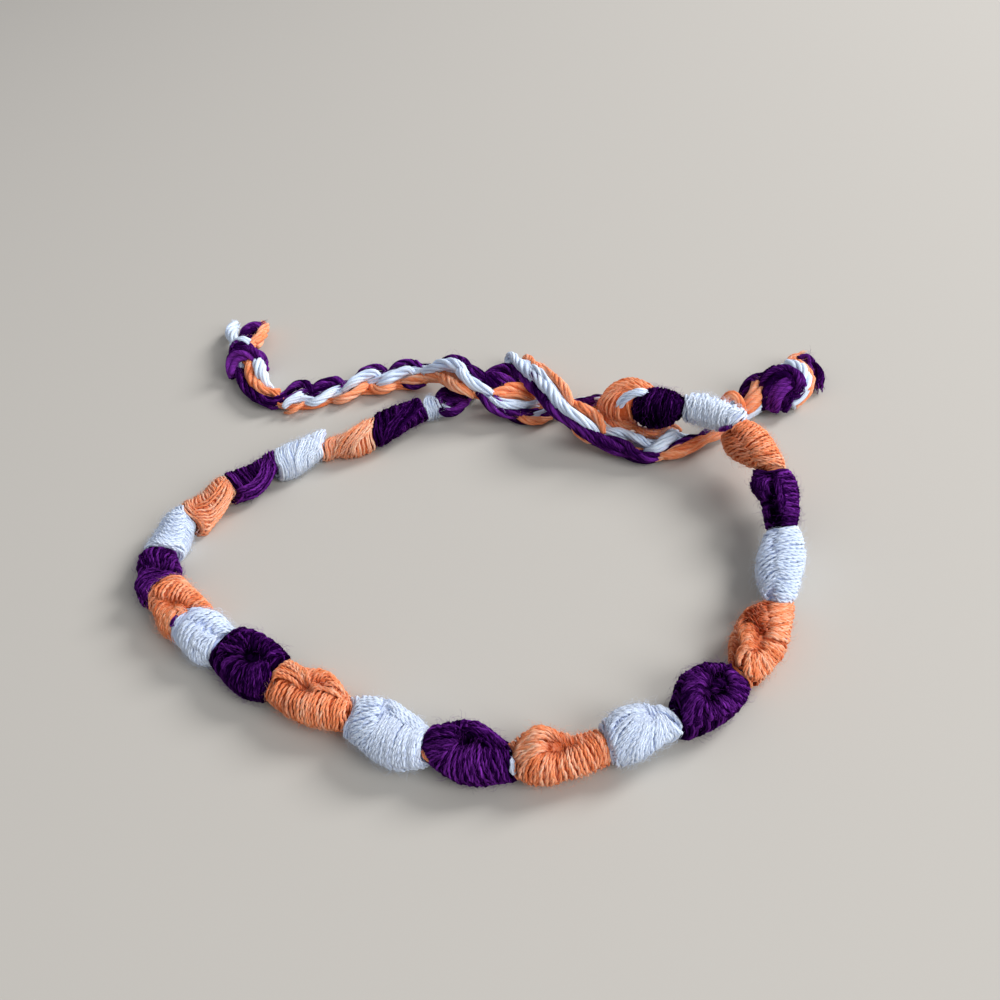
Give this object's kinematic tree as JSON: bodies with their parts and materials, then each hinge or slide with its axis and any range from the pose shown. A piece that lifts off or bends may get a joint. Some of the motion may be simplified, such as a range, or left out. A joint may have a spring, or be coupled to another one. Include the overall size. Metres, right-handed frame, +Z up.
{
  "type": "knotted cotton bracelet",
  "caption": "Knotted cotton friendship bracelet with leaf-shaped purple, orange and white sections in a row, lying open in a loop with a twisted tie cord and a knot at each end.",
  "frame": {"origin": "on the surface that the bracelet lies on, under the middle of the band's box", "axes": "+X along the longer way across the loop, +Z up from the surface, and the ties lie on the +Y side"},
  "size_m": [0.0773, 0.0828, 0.0064],
  "materials": {
    "purple_cotton": "matt mercerised cotton thread",
    "orange_cotton": "matt mercerised cotton thread",
    "white_cotton": "matt mercerised cotton thread"
  },
  "bodies": {
    "root": {"left_end_wrap": "white_cotton", "purple_leaf_1": "purple_cotton", "orange_leaf_1": "orange_cotton", "white_leaf_1": "white_cotton", "purple_leaf_2": "purple_cotton", "orange_leaf_2": "orange_cotton", "white_leaf_2": "white_cotton", "purple_leaf_3": "purple_cotton", "orange_leaf_3": "orange_cotton", "white_leaf_3": "white_cotton", "purple_leaf_4": "purple_cotton", "orange_leaf_4": "orange_cotton", "white_leaf_4": "white_cotton", "purple_leaf_5": "purple_cotton", "orange_leaf_5": "orange_cotton", "white_leaf_5": "white_cotton", "purple_leaf_6": "purple_cotton", "orange_leaf_6": "orange_cotton", "white_leaf_6": "white_cotton", "purple_leaf_7": "purple_cotton", "orange_leaf_7": "orange_cotton", "white_leaf_7": "white_cotton", "purple_leaf_8": "purple_cotton", "right_end_wrap": "orange_cotton", "carrier_threads": "white_cotton", "left_tie": "purple_cotton", "right_tie": "orange_cotton", "left_knot": "purple_cotton", "right_knot": "purple_cotton", "left_thread_ends": "orange_cotton", "right_thread_ends": "white_cotton"}
  },
  "joints": []
}
